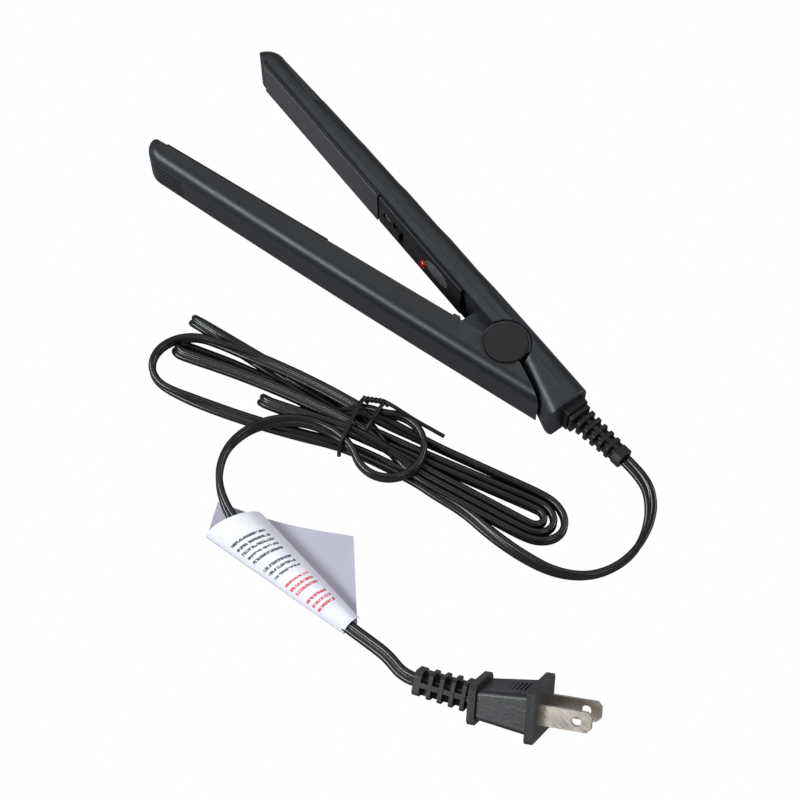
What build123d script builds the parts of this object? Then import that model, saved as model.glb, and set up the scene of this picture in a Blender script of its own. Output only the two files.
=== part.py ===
from build123d import *
from math import atan2, cos, degrees, radians, sin, sqrt, tan
import os

# Two-arm plate iron lying on its side. Millimetres.
# Origin: hinge axis at the resting plane. +Z: hinge axis. +X: along the root arm, tip to cord end.
# Plate faces meet in the plane Y = 0. The root arm is on +Y. The moving arm is on -Y and stands open at rest.

# ---- driving dimensions: casing ----
WIDTH = 19.0            # both arms, along Z
MID_Z = WIDTH / 2
WALL = 1.4              # casing wall
FLOOR = 1.6             # inner face thickness
EDGE_R = 4.2            # rounding of the long back edges
NOSE_R = 7.6            # plan radius of the tips
NOSE_X = -139.5         # centre of the tip rounding
TIP_R = 2.2             # plan radius from the tip to the inner edge
BACK_Y = 8.3            # half-thickness where the tip rounding starts
BACK_CROWN = 0.8        # sagitta of the long back
REAR_X = 29.3           # cord end face
ROOT_REAR_Y = 11.2      # back of the root arm at the cord end
MOVING_REAR_Y = 11.8    # back of the moving arm, carried on to the same X
TAIL_X = 25.5           # end of the moving arm's tail, arms closed
INNER_Y = 1.3           # inner edge of each casing, arms closed
OPEN_ANGLE = 19.0       # rest position of the moving arm
SEAM_GAP = 0.1          # parting line between the two halves of the root casing
SKIRT_ARC = ((7.8, 0.2), (17.0, -1.9), (26.2, -4.4))        # rear gap line, root side
SKIRT_EDGE_R = 5.0      # rounding of the skirt's long lower edges
GRIP_PITCH = 2.4        # between the four finger grooves of each tip
GRIP_DEPTH = 0.45
GRIP_W = 0.9

# ---- hinge ----
CAP_R = 7.28
CAP_GROOVE = 0.3
CAP_T = 1.75
LUG_R = 8.3             # round lugs of the moving arm
LUG_DROP = 0.8          # lug faces below the side faces
RECESS_R = 8.65         # round cut in the root casing round the lugs
CHEEK = 4.6             # thickness of each moving cheek, from the side face
TONGUE_GAP = 0.3        # between tongue and cheeks
HUB_R = 7.0
HUB_END = 9.0           # room behind the hub in the moving arm
TONGUE_FRONT = -17.3
TONGUE_LOW = -5.5
TONGUE_HIGH = 7.4
SLEEVE_R = 2.5
SLEEVE_BORE = 1.6
SCREW_R = 1.5
SCREW_HEAD_R = 3.0
SCREW_HEAD_T = 1.6
NUT_FLAT = 5.5
SPRING_R = 4.7
SPRING_WIRE_R = 0.45
SPRING_TURNS = 5
SPRING_PITCH = 1.15

# ---- heater plates and cover panels ----
PLATE_TIP = -140.8
PLATE_END = -72.1
PLATE_Z = (1.5, 17.5)
PLATE_T = 2.0
PLATE_Y = 0.05          # half the gap between the closed plates
PLATE_GROOVE = 0.4      # groove round the plate's rim
PLATE_ROOM_Z = (0.6, 18.4)      # rebate of the casings round the plate
PLATE_ROOM_Y = 2.4
PANEL_END = -25.0
PANEL_Y = 0.3
PANEL_Z = (1.7, 17.3)
RECESS_Y = 1.9          # floor under the panel
RECESS_END = -9.0
SCREW_X = -66.8
SCREW_Z = 9.0
LAMP_X = -45.2
LAMP_Z = 7.8
LAMP_R = 1.7
BADGE_X = -38.2
BADGE_Z = 10.4
BADGE_HALF = (6.2, 3.7)

# ---- flat two-core cord ----
CORD_W = 4.4            # across both cores
CORD_R = CORD_W / 2
LEAD_POINTS = [
    (69.9, 6.1, 7.0), (75.6, 0.0, 4.4), (79.0, -8.4, 2.6), (79.0, -17.8, 2.3),
    (75.6, -26.4, 2.3), (68.2, -33.4, 2.3), (57.6, -38.0, 2.3), (46.0, -41.2, 2.3),
    (34.6, -43.0, 2.3), (24.4, -46.8, 2.3), (15.4, -49.4, 2.3),
]
TAIL_POINTS = [
    (-22.4, -67.8, 6.2), (-28.0, -75.0, 5.6), (-31.2, -83.6, 4.0), (-30.3, -93.0, 2.8),
    (-24.2, -100.4, 2.3), (-15.0, -104.5, 2.3), (-4.0, -105.6, 2.3), (8.0, -104.3, 2.3),
    (21.0, -101.6, 2.3), (34.0, -99.2, 2.3), (45.0, -96.7, 2.5), (53.0, -94.6, 3.3), (60.0, -93.1, 4.6),
]
LEAD_START = 9.0        # straight stretch behind the iron's relief
TAIL_START = 4.5        # straight stretch behind the plug's relief
HANK_H = 9.0
HANK_PLACE = (-10.5, -52.5)     # under the tie
HANK_TURN = 22.5                # the hank's length, from +X

# ---- strain reliefs ----
RELIEF_TILT = 6.0
RELIEF_Y = 5.2
RELIEF = dict(count=5, pitch=3.06, start=2.9, rib=(7.6, 7.6), taper=0.18, collar=3.3)
PLUG_RELIEF = dict(count=4, pitch=3.7, start=3.0, rib=(8.6, 9.0), taper=0.1, collar=2.4)

# ---- care tag: a flap on the table that runs into a paper cone over the cord ----
TAG_FLAP = [
    (-8.4, -115.5), (44.8, -99.4), (43.6, -93.4), (33.4, -92.9), (20.0, -77.3), (-13.5, -102.3),
    (-16.9, -105.5),
]
TAG_MOUTH = (-10.4, -106.8)
TAG_END = (43.9, -95.8)
TAG_MOUTH_HALF = (8.9, 9.5)     # half width and height of the cone
TAG_END_HALF = (4.3, 5.5)
TAG_T = 0.75                    # of the flap

# ---- plug ----
PLUG_ORIGIN = (104.74, -67.17, 15.4)    # centre of the front face
PLUG_YAW = 38.9
PLUG_PITCH = 13.6
PLUG_ROLL = 54.6
PLUG_FACE = (23.4, 17.0)
PLUG_FACE_T = 2.6
PLUG_REAR = -21.5
PLUG_RELIEF_L = 19.0
PLUG_RELIEF_TILT = 6.6
BLADE = (16.6, 1.5, 6.35)
BLADE_PITCH = 12.7
BLADE_HOLE_X = 11.9
BLADE_HOLE_R = 1.55


def span_box(x, y, z):
    """A box from three (low, high) pairs."""
    size = (x[1] - x[0], y[1] - y[0], z[1] - z[0])
    centre = ((x[0] + x[1]) / 2, (y[0] + y[1]) / 2, (z[0] + z[1]) / 2)
    return Pos(*centre) * Box(*size)


def disc(radius, low, high, x=0.0, y=0.0):
    """A cylinder along Z between two heights."""
    return Pos(x, y, (low + high) / 2) * Cylinder(radius, high - low)


def cross_rod(radius, low, high, x, z):
    """A cylinder along Y between two Y values."""
    return Pos(x, (low + high) / 2, z) * Rot(90, 0, 0) * Cylinder(radius, high - low)


def bar(path, radius, **options):
    """A round bar along a path."""
    return sweep(Plane(path @ 0, z_dir=path % 0) * Circle(radius), path=path, **options)


def prism(points, low, high):
    """A straight prism on a polygon in XY."""
    return Pos(0, 0, low) * extrude(make_face(Polyline(*points, close=True)), high - low)


def both_sides(shape):
    """The shape and its mirror image about the mid-plane of the arms."""
    return shape + Pos(0, 0, MID_Z) * mirror(Pos(0, 0, -MID_Z) * shape, about=Plane.XY)


# ---- casing form ----

def back_circle(rear_y):
    """Centre and radius of the long back, from its chord and sagitta."""
    start = Vector(NOSE_X, BACK_Y)
    chord = Vector(REAR_X, rear_y) - start
    radius = chord.length ** 2 / (8 * BACK_CROWN) + BACK_CROWN / 2
    inward = Vector(chord.Y, -chord.X).normalized()
    return start + chord * 0.5 + inward * (radius - BACK_CROWN), radius


def arm_form(inset, inner_y, rear_x, rear_y):
    """Arm on +Y with a round nose, long crowned back and rounded back edges, set in by a wall."""
    centre, radius = back_circle(rear_y)
    reach = radius - NOSE_R
    lean = (NOSE_X - centre.X) / reach
    out = Vector(lean, sqrt(1 - lean * lean))
    nose = centre + out * reach
    back_r = radius - inset
    nose_r = NOSE_R - inset

    def on_back(x):
        return Vector(x, centre.Y + sqrt(back_r ** 2 - (x - centre.X) ** 2))

    join = centre + out * back_r
    tip = Vector(nose.X - sqrt(nose_r ** 2 - (inner_y - nose.Y) ** 2), inner_y)
    nose_mid = nose + ((tip - nose).normalized() + out).normalized() * nose_r
    rear = on_back(rear_x)
    outline = [
        Line((rear_x, inner_y), tip),
        ThreePointArc(tip, nose_mid, join),
        ThreePointArc(join, on_back((join.X + rear_x) / 2), rear),
        Line(rear, (rear_x, inner_y)),
    ]
    plan = make_face(outline)
    sharp_tip = plan - fillet(plan.vertices().sort_by(Axis.X)[0], TIP_R - inset / 2)
    form, corner = (extrude(face, WIDTH - 2 * inset, dir=(0, 0, 1)) for face in (plan, sharp_tip))
    form = fillet(form.edges().filter_by(GeomType.CIRCLE), EDGE_R - inset)
    return Pos(0, 0, inset) * (form - corner)


def grip_grooves(rear_y):
    """Four finger grooves that wrap the nose, as ring-shaped cutters."""
    ring = arm_form(-1.0, INNER_Y, -129.0, rear_y) - arm_form(GRIP_DEPTH, INNER_Y - 1, -128.0, rear_y)
    heights = [MID_Z + GRIP_PITCH * (i - 1.5) for i in range(4)]
    return [ring & span_box((-160, -129), (INNER_Y + 1.2, 12), (z - GRIP_W / 2, z + GRIP_W / 2)) for z in heights]



def rear_skirt():
    """Cord end of the root arm, which hangs below the inner edge behind the hinge."""
    corner = ThreePointArc((27.2, -4.4), (28.7, -3.7), (REAR_X, -2.0))
    outline = [
        ThreePointArc(*SKIRT_ARC),
        Line(SKIRT_ARC[2], (27.2, -4.4)),
        corner,
        Line((REAR_X, -2.0), (REAR_X, 5.0)),
        Line((REAR_X, 5.0), (7.8, 5.0)),
        Line((7.8, 5.0), SKIRT_ARC[0]),
    ]
    return extrude(make_face(outline), WIDTH)


def skirt_edge():
    """What the rounding takes off the skirt's lower edge, along the rear gap line."""
    run = Vector(*SKIRT_ARC[2]) - Vector(*SKIRT_ARC[1])
    corner = span_box((-20.5, 8), (-2, SKIRT_EDGE_R), (-1, SKIRT_EDGE_R))
    corner -= Pos(-6, SKIRT_EDGE_R, SKIRT_EDGE_R) * Rot(0, 90, 0) * Cylinder(SKIRT_EDGE_R, 40)
    return Location((*SKIRT_ARC[2], 0), (0, 0, degrees(atan2(run.Y, run.X)))) * corner


def plate_room():
    """Rebate that leaves a dark gap round the heater plate."""
    return span_box((PLATE_TIP - 0.9, PLATE_END + 0.3), (0, PLATE_ROOM_Y), PLATE_ROOM_Z)


def root_casing():
    """Both halves of the root casing in one, hollow."""
    outer = arm_form(0, INNER_Y, REAR_X, ROOT_REAR_Y) + rear_skirt()
    rim = outer.edges().filter_by_position(Axis.X, REAR_X - 0.01, REAR_X + 0.01)
    outer = fillet(rim, 0.9) - both_sides(skirt_edge())
    hollow = arm_form(WALL, INNER_Y + FLOOR, REAR_X - WALL, ROOT_REAR_Y)
    skirt_hollow = prism([(9.8, 1.8), (17.2, -0.2), (26.0, -2.7), (27.0, -2.7), (REAR_X - WALL, -1.3),
                          (REAR_X - WALL, 6), (9.8, 6)], 2 * WALL, WIDTH - 2 * WALL)
    plate_window = span_box((PLATE_TIP - 0.4, PLATE_END + 0.3), (0, 4), (WALL, WIDTH - WALL))
    plate_window += plate_room()
    panel_recess = span_box((PLATE_END, RECESS_END), (0, RECESS_Y), (WALL, WIDTH - WALL))
    cable_mouth = span_box((REAR_X - 3, REAR_X + 1), (2.7, 7.7), (6.1, 12.9))
    return outer - hollow - skirt_hollow - plate_window - panel_recess - cable_mouth


def above_seam(offset):
    """Everything on the back side of the root casing's parting line."""
    return prism([(-160, 3.2 + offset), (-9, 4.15 + offset), (-6, 5.0 + offset), (40, 5.0 + offset),
                  (40, 30), (-160, 30)], -1, WIDTH + 1)


LUG_CLEARANCE = both_sides(disc(RECESS_R, -1, CHEEK))
TONGUE_Z = (CHEEK + TONGUE_GAP, WIDTH - CHEEK - TONGUE_GAP)


def root_outer_shell(casing):
    """Back half of the root casing with finger grooves and a screw boss."""
    shell = (casing & above_seam(SEAM_GAP / 2)) - LUG_CLEARANCE
    for cutter in grip_grooves(ROOT_REAR_Y):
        shell -= cutter
    boss = cross_rod(2.9, INNER_Y + FLOOR + 0.05, 9.4, SCREW_X, SCREW_Z)
    shell = shell + boss - cross_rod(1.0, 2, 8.2, SCREW_X, SCREW_Z)
    return shell


def tongue():
    """Hinge knuckle of the root arm: a hub with a block in front, between the moving cheeks."""
    low, high = TONGUE_Z
    body = disc(HUB_R, low, high)
    body += span_box((TONGUE_FRONT, 0), (TONGUE_LOW, TONGUE_HIGH), (low, high))
    body += span_box((-1, 10.8), (1.9, TONGUE_HIGH), (low, high))
    for x in ((TONGUE_FRONT, -9.4), (9.3, 10.8)):
        body += span_box(x, (2.2, 4.0), (WALL - 0.2, WIDTH - WALL + 0.2))
        body += span_box(x, (3.9, 5.5), (WALL + 0.1, WIDTH - WALL - 0.1))
    spring_room = disc(6.0, 6.0, high + 1) - disc(3.4, 0, WIDTH)
    leg_hole = disc(0.6, 0, 6.5, SPRING_R, 0)
    return body - spring_room - disc(SLEEVE_R + 0.06, 0, WIDTH) - leg_hole


def root_inner_shell(casing):
    """Inner half of the root casing, with the knuckle and the seat of the cover panel."""
    shell = (casing - above_seam(-SEAM_GAP / 2)) - LUG_CLEARANCE
    shell = shell - span_box((-9.2, 9.2), (-1, 8), (CHEEK - 0.1, WIDTH - CHEEK + 0.1)) + tongue()
    screw_hole = cross_rod(1.2, 0, 4, SCREW_X, SCREW_Z)
    lamp_hole = cross_rod(LAMP_R + 0.1, 0, 4, LAMP_X, LAMP_Z)
    slot = span_box((-62.8, -57.6), (0, 4), (7.8, 11.6)) + span_box((-60.2, -57.6), (0, 4), (3.9, 8.0))
    return shell - screw_hole - lamp_hole - slot


def root_cover_panel():
    """Raised panel with screw hole, L slot, lamp hole and badge seat."""
    panel = span_box((PLATE_END + 0.5, PANEL_END), (PANEL_Y, RECESS_Y - 0.05), PANEL_Z)
    face_edges = panel.edges().filter_by_position(Axis.Y, PANEL_Y - 0.01, PANEL_Y + 0.01)
    panel = chamfer(face_edges, 0.25)
    slot = span_box((-63.2, -57.2), (0, 4), (7.6, 11.8)) + span_box((-60.0, -57.2), (0, 4), (3.5, 8.0))
    badge_seat = Pos(BADGE_X, PANEL_Y + 0.2, BADGE_Z) * Rot(90, 0, 0) * extrude(
        Ellipse(BADGE_HALF[0] + 0.05, BADGE_HALF[1] + 0.05), 3)
    return (panel - cross_rod(2.3, 0, 4, SCREW_X, SCREW_Z) - slot - badge_seat
            - cross_rod(LAMP_R + 0.1, 0, 4, LAMP_X, LAMP_Z))


def badge():
    """Blank oval badge, slightly proud of the panel."""
    plate = extrude(Ellipse(*BADGE_HALF), 0.35)
    plate = chamfer(plate.edges().filter_by_position(Axis.Z, 0.34, 0.36), 0.1)
    return Pos(BADGE_X, PANEL_Y + 0.2, BADGE_Z) * Rot(90, 0, 0) * plate


def indicator_lamp():
    """Round-topped lamp with a collar behind the floor and two leads."""
    floor_back = INNER_Y + FLOOR
    lamp = cross_rod(LAMP_R, 0.5, 4.0, LAMP_X, LAMP_Z)
    lamp += Pos(LAMP_X, 0.5, LAMP_Z) * Sphere(LAMP_R)
    lamp += cross_rod(LAMP_R + 0.4, floor_back + 0.1, 4.0, LAMP_X, LAMP_Z)
    for side in (-0.9, 0.9):
        lamp += cross_rod(0.25, 3.9, 4.95, LAMP_X + side, LAMP_Z)
    return lamp


# ---- heater parts, drawn for the root arm and mirrored for the moving arm ----

def heater_plate():
    """Flat plate with bevelled face edges, a grooved rim and two rails behind it."""
    plate = span_box((PLATE_TIP, PLATE_END), (PLATE_Y, PLATE_Y + PLATE_T), PLATE_Z)
    face_edges = plate.edges().filter_by_position(Axis.Y, PLATE_Y - 0.01, PLATE_Y + 0.01)
    plate = chamfer(face_edges, 0.15)
    core = span_box((PLATE_TIP + PLATE_GROOVE, PLATE_END - PLATE_GROOVE), (0, 1),
                    (PLATE_Z[0] + PLATE_GROOVE, PLATE_Z[1] - PLATE_GROOVE))
    plate -= span_box((PLATE_TIP - 1, PLATE_END + 1), (0.28, 0.62), (0, WIDTH)) - core
    for z in (5.0, 13.0):
        plate += span_box((PLATE_TIP + 5, PLATE_END - 3), (PLATE_Y + PLATE_T, 4.6), (z, z + 1.0))
    return plate


def plate_carrier():
    """Heat-resistant tray behind the plate, with side walls outside the rails."""
    x = (PLATE_TIP + 3.0, PLATE_END - 1.0)
    tray = span_box(x, (4.9, 6.0), (3.2, 15.8))
    for z in ((3.2, 4.7), (14.3, 15.8)):
        tray += span_box(x, (2.2, 4.9), z)
    return tray - span_box((-112, -104), (4, 7), (7, 12))


def ceramic_heater():
    """Ceramic heating slab with two terminal tabs."""
    slab = span_box((-128, -86), (2.15, 4.4), (6.2, 12.8))
    slab = chamfer(slab.edges().filter_by(Axis.X), 0.3)
    for z in (7.2, 10.4):
        slab += span_box((-86.5, -80), (3.0, 3.4), (z, z + 1.6))
    return slab


def float_pads():
    """Two silicone pads that press the carrier towards the plate face."""
    return [span_box(x, (6.05, 7.2), (6, 13)) for x in ((-124, -118), (-98, -92))]


def pan_screw(x, z, seat_y):
    """Pan-head screw along Y with a cross recess, its head towards the plate plane."""
    head = cross_rod(1.9, seat_y - 1.15, seat_y - 0.05, x, z)
    head = fillet(head.edges().filter_by_position(Axis.Y, seat_y - 1.16, seat_y - 1.14), 0.4)
    screw = head + cross_rod(0.95, seat_y - 0.1, 8.0, x, z)
    for size in ((2.2, 0.45), (0.45, 2.2)):
        screw -= Pos(x, seat_y - 1.15, z) * Box(size[0], 1.2, size[1])
    return screw


# ---- electrics inside the root arm ----

def circuit_board():
    """Small board behind the lamp."""
    return span_box((-52, -30), (5.0, 5.9), (4.2, 14.8)) - cross_rod(0.8, 4, 7, -33, 12.5)


def lamp_resistor():
    """Series resistor of the lamp, lying on the board."""
    return Pos(-40, 7.0, 10.5) * Rot(0, 90, 0) * (Cylinder(1.0, 6.0) + Cylinder(0.3, 10.0))


def thermal_fuse():
    """One-shot thermal cut-out behind the heater."""
    return Pos(-81.5, 7.35, MID_Z) * Rot(0, 90, 0) * (Cylinder(1.15, 8.5) + Cylinder(0.35, 13.0))


def supply_wires():
    """Two insulated cores from the cord end over the knuckle to the board."""
    wires = []
    for z in (7.6, 11.4):
        path = FilletPolyline((25.2, 5.2, z), (17.0, 8.7, z), (-22.0, 8.7, z), (-29.6, 5.5, z), radius=4.0)
        wires.append(bar(path, 0.6))
    return wires


# ---- moving arm, drawn closed on -Y, then opened ----

def mirrored(shape):
    """The shape on the other side of the plate plane."""
    return mirror(shape, about=Plane.XZ)


def opened(shape):
    """The shape turned from the closed to the open position."""
    return Rot(0, 0, OPEN_ANGLE) * shape


def circle_through(a, b, c):
    """Centre and radius of the circle through three XY points."""
    ax, ay = a
    bx, by = b
    cx, cy = c
    d = 2 * (ax * (by - cy) + bx * (cy - ay) + cx * (ay - by))
    a2, b2, c2 = ax * ax + ay * ay, bx * bx + by * by, cx * cx + cy * cy
    x = (a2 * (by - cy) + b2 * (cy - ay) + c2 * (ay - by)) / d
    y = (a2 * (cx - bx) + b2 * (ax - cx) + c2 * (bx - ax)) / d
    return x, y, sqrt((ax - x) ** 2 + (ay - y) ** 2)


def tail_clearance(gap=1.0):
    """Space that the moving tail leaves for the root skirt when the arms are open."""
    x, y, radius = circle_through(*SKIRT_ARC)
    return prism([(7.0, 30), (7.0, -12), (60, -12), (60, 30)], -1, WIDTH + 1) - disc(
        radius - gap, -2, WIDTH + 2, x, y)


def moving_outer_shell():
    """Casing of the moving arm: channel, two hinge cheeks with round lugs, and the tail."""
    form = mirrored(arm_form(0, INNER_Y, TAIL_X, MOVING_REAR_Y))
    hollow = mirrored(arm_form(WALL, INNER_Y + FLOOR, HUB_END, MOVING_REAR_Y))
    opening = span_box((PLATE_TIP - 0.4, -19.6), (-3.5, 0), (WALL, WIDTH - WALL)) + mirrored(plate_room())
    cheeks = both_sides(form & span_box((-12, 16), (-20, 0), (0, CHEEK)))
    lugs = both_sides(disc(LUG_R, LUG_DROP, CHEEK))
    bumps = both_sides(span_box((-20.3, -17.4), (-2, -0.5), (0, CHEEK)))
    bumps = fillet(bumps.edges().filter_by(Axis.Z).filter_by_position(Axis.Y, -0.51, -0.49), 0.6)
    shell = form - hollow - opening
    shell = shell + cheeks + bumps
    shell = shell - both_sides(disc(LUG_R + 0.1, -1, LUG_DROP)) + lugs
    shell -= span_box((-19.6, HUB_END), (-9.0, 9.0), (CHEEK, WIDTH - CHEEK))
    shell -= both_sides(disc(CAP_R + CAP_GROOVE, -1, CAP_T + 0.05))
    shell -= disc(SLEEVE_R + 0.02, -1, WIDTH + 1)
    shell -= disc(SCREW_HEAD_R + 0.3, WIDTH - 3.6, WIDTH)
    shell -= extrude(RegularPolygon(NUT_FLAT / 2 + 0.15, 6, major_radius=False), 3.6)
    shell -= Rot(0, 0, -OPEN_ANGLE) * disc(0.7, 10, 16, SPRING_R, 0)
    for cutter in grip_grooves(MOVING_REAR_Y):
        shell -= mirrored(cutter)
    boss = mirrored(cross_rod(2.9, 3.25, 9.6, SCREW_X, SCREW_Z))
    shell = shell + boss - mirrored(cross_rod(1.0, 2, 8.2, SCREW_X, SCREW_Z))
    return opened(shell) - tail_clearance()


def moving_inner_cover():
    """Flat cover between the moving plate and the hinge."""
    cover = span_box((PLATE_END + 0.5, -20.6), (-3.2, -1.6), (1.6, 17.4))
    cover = chamfer(cover.edges().filter_by_position(Axis.Y, -1.61, -1.59), 0.25)
    cover = cover - mirrored(cross_rod(2.3, 1, 2.3, SCREW_X, SCREW_Z))
    return cover - mirrored(cross_rod(1.2, 2, 4, SCREW_X, SCREW_Z))


# ---- hinge hardware ----

def pivot_cap(low, high, outer_z):
    """Round cover disc with a softened rim."""
    cap = disc(CAP_R, low, high)
    return fillet(cap.edges().filter_by_position(Axis.Z, outer_z - 0.01, outer_z + 0.01), 0.3)


def pivot_screw():
    """Hinge screw with a cross recess, its head under the upper cap."""
    seat = WIDTH - 3.6
    screw = disc(SCREW_HEAD_R, seat + 0.05, seat + SCREW_HEAD_T) + disc(SCREW_R, 2.1, seat + 0.1)
    for size in ((3.2, 0.6), (0.6, 3.2)):
        screw -= Pos(0, 0, seat + SCREW_HEAD_T) * Box(size[0], size[1], 1.4)
    return screw


def pivot_nut():
    nut = extrude(RegularPolygon(NUT_FLAT / 2, 6, major_radius=False), 1.6)
    return Pos(0, 0, 1.9) * (nut - Pos(0, 0, 1) * Cylinder(SCREW_R + 0.05, 4))


def return_spring():
    """Torsion spring round the sleeve, with one leg down into the tongue and one up into a lug."""
    height = SPRING_TURNS * SPRING_PITCH
    low = 6.9
    helix = Pos(0, 0, low) * Helix(pitch=SPRING_PITCH, height=height, radius=SPRING_R)
    coil = bar(helix, SPRING_WIRE_R, is_frenet=True)
    leg_down = disc(SPRING_WIRE_R, 5.2, low + 0.1, SPRING_R, 0)
    leg_up = disc(SPRING_WIRE_R, low + height - 0.1, 15.6, SPRING_R, 0)
    return coil + leg_down + leg_up


# ---- strain reliefs, cord, hank, tie and tag ----

def ribbed_sleeve(count, pitch, start, rib, taper, collar):
    """Moulded relief along +X from the origin: ribs on a cross-shaped core, and an end collar."""
    end = sleeve_length(count, pitch, start, collar) - collar
    core = Pos(end / 2, 0, 0) * Rot(0, 90, 0) * Cylinder(1.9, end + 0.2)
    thin = 1 - taper
    core += Pos(end / 2, 0, 0) * Box(end + 0.2, 1.5, rib[1] * thin)
    core += Pos(end / 2, 0, 0) * Box(end + 0.2, rib[0] * thin, 1.7)
    for i in range(count):
        shrink = 1 - taper * i / count
        plate = Box(1.25, rib[0] * shrink, rib[1] * shrink)
        plate = fillet(plate.edges().filter_by(Axis.X), 1.2)
        core += Pos(start + pitch * i, 0, 0) * plate
    end_block = Box(collar, rib[0] * thin, rib[1] * thin)
    end_block = chamfer(end_block.edges().filter_by(Axis.X), 1.3)
    return core + Pos(end + collar / 2, 0, 0) * end_block


def sleeve_length(count, pitch, start, collar):
    """Length of a ribbed sleeve with its collar."""
    return start + count * pitch - 0.6 + collar


def strain_relief():
    """Cord-end relief: inner flange, neck, two outer flanges and a ribbed tail."""
    face = REAR_X + 0.1
    body = span_box((25.5, REAR_X - WALL - 0.1), (1.0, 9.2), (4.2, 14.8))
    body += span_box((27, face + 0.5), (2.9, 7.5), (6.3, 12.7))
    flange = span_box((face, face + 2.4), (RELIEF_Y - 4.2, RELIEF_Y + 4.2), (3.65, 15.35))
    body += chamfer(flange.edges().filter_by(Axis.X), 0.5)
    second = span_box((face + 2.4, face + 3.0), (RELIEF_Y - 3.2, RELIEF_Y + 3.2), (5.0, 14.0))
    third = span_box((face + 3.0, face + 4.2), (RELIEF_Y - 3.9, RELIEF_Y + 3.9), (4.6, 14.4))
    body += second + chamfer(third.edges().filter_by(Axis.X), 0.5)
    return body + relief_frame() * ribbed_sleeve(**RELIEF)


def relief_frame():
    return Location((REAR_X + 3.3, RELIEF_Y + 0.4, MID_Z), (0, 0, RELIEF_TILT))


def relief_run(frame, relief, straight):
    """End of a relief's collar and a point straight behind it."""
    end = sleeve_length(relief["count"], relief["pitch"], relief["start"], relief["collar"])
    points = [(frame * Pos(x, 0, 0)).position for x in (end, end + straight)]
    return [(p.X, p.Y, p.Z) for p in points]


def cord_path(name, points):
    """Straight runs and tangent arcs, each arc as large as its two runs allow."""
    vectors = [Vector(*p) for p in points]
    runs = [b - a for a, b in zip(vectors, vectors[1:])]
    radii = [0.45 * min(a.length, b.length) / tan(radians(a.get_angle(b)) / 2)
             for a, b in zip(runs, runs[1:])]
    path = FilletPolyline(*points, radius=radii)
    print(name, "radii", [round(r, 1) for r in radii], "length", round(path.length, 1))
    return path


def cord_hank():
    """Outer shape of the tied hank: a fan of loops, a waist at the tie, the loose ring and a rounded nose."""
    outline = [
        (-75.2, -12.5), (-73.6, -6.5), (-71.0, -1.0), (-70.6, 4.8), (-67.5, 6.8), (-54.0, 7.0),
        (-43.0, 6.4), (-20.0, 6.0), (-6.0, 6.0), (0.0, 6.6), (4.0, 8.0), (13.3, 9.9), (19.0, 9.0),
        (23.0, 8.4), (32.4, 8.8), (49.3, 9.8), (61.9, 10.3), (67.6, 10.4), (73.3, 9.2), (76.4, 6.8),
        (77.5, 2.0), (75.8, -3.4), (70.9, -6.4), (65.9, -8.0), (58.0, -8.6), (50.0, -7.4), (44.0, -6.1),
        (34.0, -5.6), (28.5, -5.2), (27.2, -9.6), (23.0, -12.4), (17.5, -15.6), (11.0, -16.0),
        (5.5, -13.5), (2.0, -11.2), (-3.0, -10.9), (-15.5, -13.5), (-26.0, -16.2), (-37.0, -18.3),
        (-47.2, -21.3), (-55.6, -23.1), (-62.4, -23.1), (-69.0, -21.8), (-73.6, -18.2),
    ]
    solid = prism(outline, 0.05, HANK_H)
    solid = chamfer(solid.faces().sort_by(Axis.Z)[-1].edges(), 1.5)
    return Pos(*HANK_PLACE) * Rot(0, 0, HANK_TURN) * solid


def twist_tie():
    """Two wire turns over the waist of the hank, a twisted link and a free end."""
    wire_r = 0.75
    top = HANK_H + wire_r + 0.05
    turns = []
    for far, near in (((-15.6, -46.4), (-6.2, -63.8)), ((-10.4, -42.2), (2.5, -64.6))):
        path = FilletPolyline((*far, 1.0), (*far, top), (*near, top), (*near, 1.0), radius=1.6)
        turns.append(bar(path, wire_r))
    link = FilletPolyline((-15.6, -46.4, top), (-10.4, -42.2, top), (-5.5, -39.5, 9.4), (9.5, -33.2, 6.0),
                          radius=(3.0, 6.0))
    return turns[0] + turns[1] + bar(link, wire_r)


def paper_tag(tail_path):
    """Care tag of paper: a flat flap and a flattened cone over the cord."""
    mouth, end = Vector(*TAG_MOUTH), Vector(*TAG_END)
    along = (end - mouth).normalized()
    across = Vector(-along.Y, along.X)
    ends = [Plane(origin=place, x_dir=across, z_dir=along) * Ellipse(*half)
            for place, half in ((mouth, TAG_MOUTH_HALF), (end, TAG_END_HALF))]
    cone = loft(ends) & span_box((-40, 80), (-140, -60), (0.05, 20))
    return prism(TAG_FLAP, 0.05, TAG_T) + cone - bar(tail_path, CORD_R + 0.15)


# ---- plug ----

def plug_plane():
    """Local frame of the plug: X towards the blades, Y from blade to blade, Z across them."""
    yaw, pitch, roll = radians(PLUG_YAW), radians(PLUG_PITCH), radians(PLUG_ROLL)
    ahead = Vector(cos(yaw) * cos(pitch), sin(yaw) * cos(pitch), sin(pitch))
    level = Vector(-sin(yaw), cos(yaw), 0)
    up = ahead.cross(level)
    across = level * sin(roll) + up * cos(roll)
    return Plane(origin=PLUG_ORIGIN, x_dir=ahead, z_dir=across)


def plug_relief_frame():
    return Pos(PLUG_REAR, 0, 0) * Rot(0, PLUG_RELIEF_TILT, 0) * Rot(0, 0, 180)


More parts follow.
